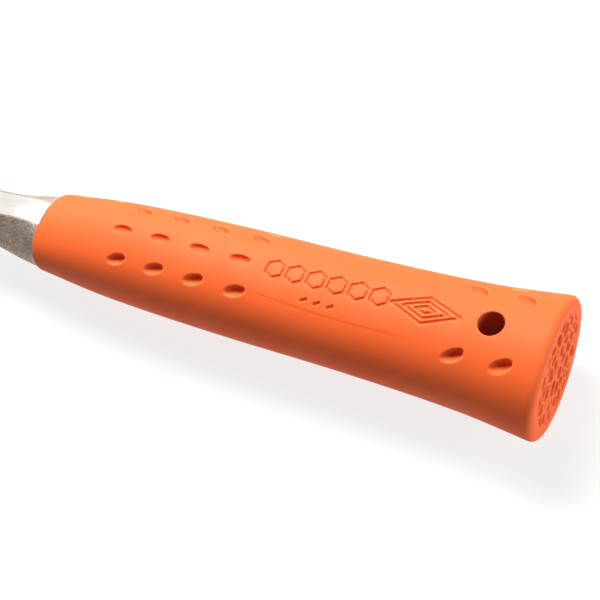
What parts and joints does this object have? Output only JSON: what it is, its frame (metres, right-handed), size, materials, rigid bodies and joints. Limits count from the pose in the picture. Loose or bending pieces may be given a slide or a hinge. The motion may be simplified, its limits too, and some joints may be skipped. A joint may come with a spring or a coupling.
{
  "type": "rock hammer",
  "caption": "One-piece forged rock hammer with a square striking face, a long pick and a moulded, dimpled grip with a hang hole.",
  "frame": {"origin": "centre of the hang hole, on the hammer's middle plane", "axes": "+X runs down the handle from the head to the butt, +Y runs along the head towards the pick, and +Z is along the hang hole, out of the side that faces up when the hammer lies flat"},
  "size_m": [0.33, 0.181, 0.0316],
  "materials": {
    "forged_steel": "polished flats with grainy forged edges",
    "orange_vinyl": "satin soft vinyl"
  },
  "bodies": {
    "root": {"steel_forging": "forged_steel", "moulded_grip": "orange_vinyl"}
  },
  "joints": []
}
